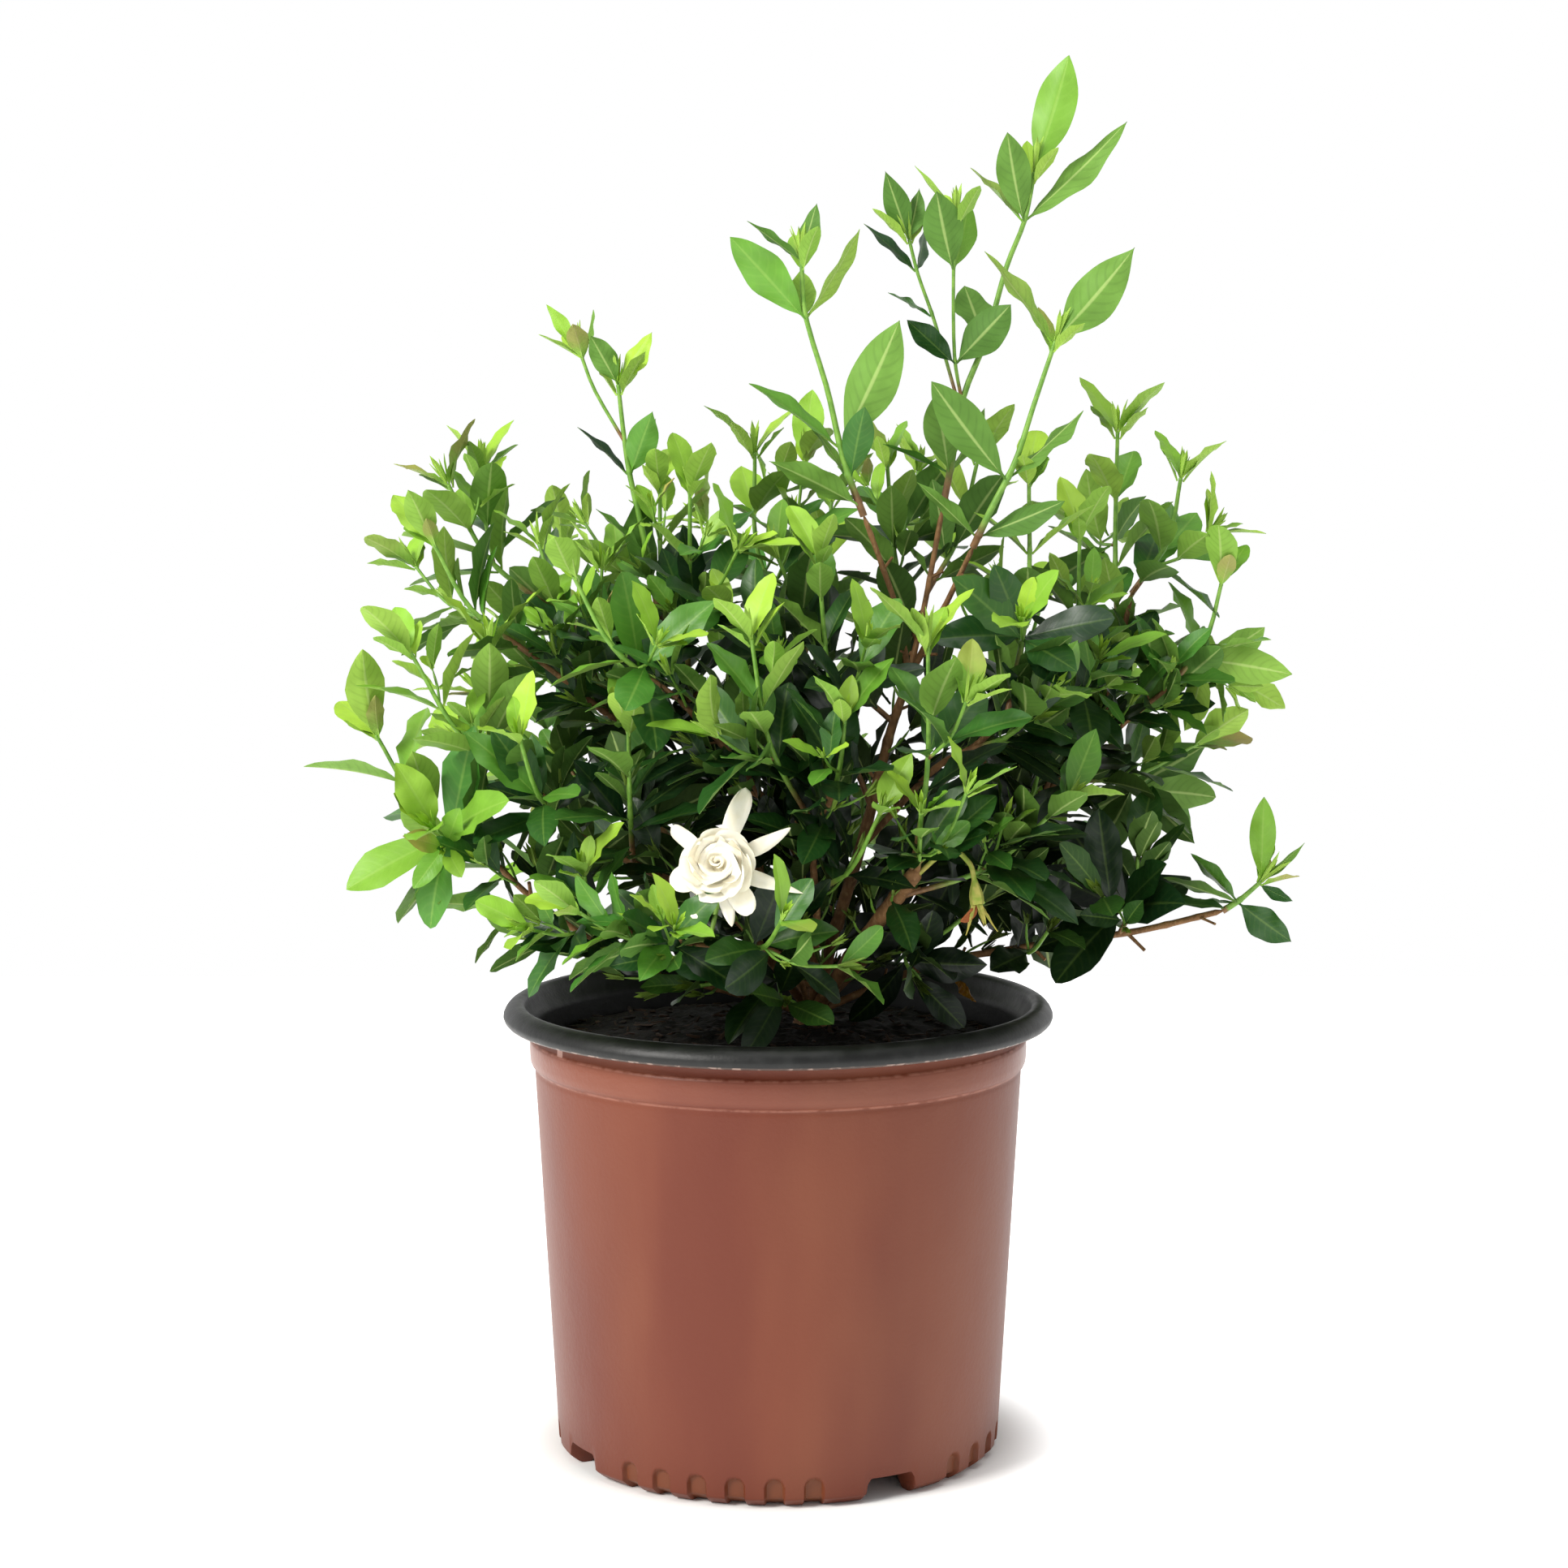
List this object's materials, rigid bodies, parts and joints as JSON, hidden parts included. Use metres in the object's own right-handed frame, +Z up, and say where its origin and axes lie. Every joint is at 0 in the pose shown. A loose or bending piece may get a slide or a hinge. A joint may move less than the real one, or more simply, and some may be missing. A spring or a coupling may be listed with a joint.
{
  "type": "potted gardenia",
  "caption": "Evergreen flowering shrub with glossy opposite leaves, one double white bloom and woody stems, growing in a round moulded nursery pot filled with soil.",
  "frame": {"origin": "middle of the pot's underside, on the flat pad under its floor", "axes": "+Z up the pot's axis, -Y the side that carries the open bloom, +X to the right seen from that side"},
  "size_m": [0.5233, 0.3839, 0.7331],
  "materials": {
    "pot": "satin",
    "soil": "matte",
    "bark": "matte",
    "leaf": "satin",
    "young_green": "satin",
    "petal": "matte",
    "withered": "matte",
    "yellow_leaf": "matte"
  },
  "bodies": {
    "root": {"pot": "pot", "soil": "soil", "wood": "bark", "bloom": "petal", "bloom_calyx": "young_green", "spent_bloom": "withered", "yellow_leaf_front": "yellow_leaf", "yellow_leaf_right": "yellow_leaf", "shoot_tallest": "leaf", "shoot_tall_right": "leaf", "shoot_tall_left": "leaf", "shoot_tall_far_left": "leaf", "shoot_low_right_tip": "leaf", "shoot_01": "leaf", "shoot_02": "leaf", "shoot_03": "leaf", "shoot_04": "leaf", "shoot_05": "leaf", "shoot_06": "leaf", "shoot_07": "leaf", "shoot_08": "leaf", "shoot_09": "leaf", "shoot_10": "leaf", "shoot_11": "leaf", "shoot_12": "leaf", "shoot_13": "leaf", "shoot_14": "leaf", "shoot_15": "leaf", "shoot_16": "leaf", "shoot_17": "leaf", "shoot_18": "leaf", "shoot_19": "leaf", "shoot_20": "leaf", "shoot_21": "leaf", "shoot_22": "leaf", "shoot_23": "leaf", "shoot_24": "leaf", "shoot_25": "leaf", "shoot_26": "leaf", "shoot_27": "leaf", "shoot_28": "leaf", "shoot_29": "leaf", "shoot_30": "leaf", "shoot_31": "leaf", "shoot_32": "leaf", "shoot_33": "leaf", "shoot_34": "leaf", "shoot_35": "leaf", "shoot_36": "leaf", "shoot_37": "leaf", "shoot_38": "leaf", "shoot_39": "leaf", "shoot_40": "leaf", "shoot_41": "leaf", "shoot_42": "leaf", "shoot_43": "leaf", "shoot_44": "leaf", "shoot_45": "leaf", "shoot_46": "leaf", "shoot_47": "leaf"}
  },
  "joints": []
}
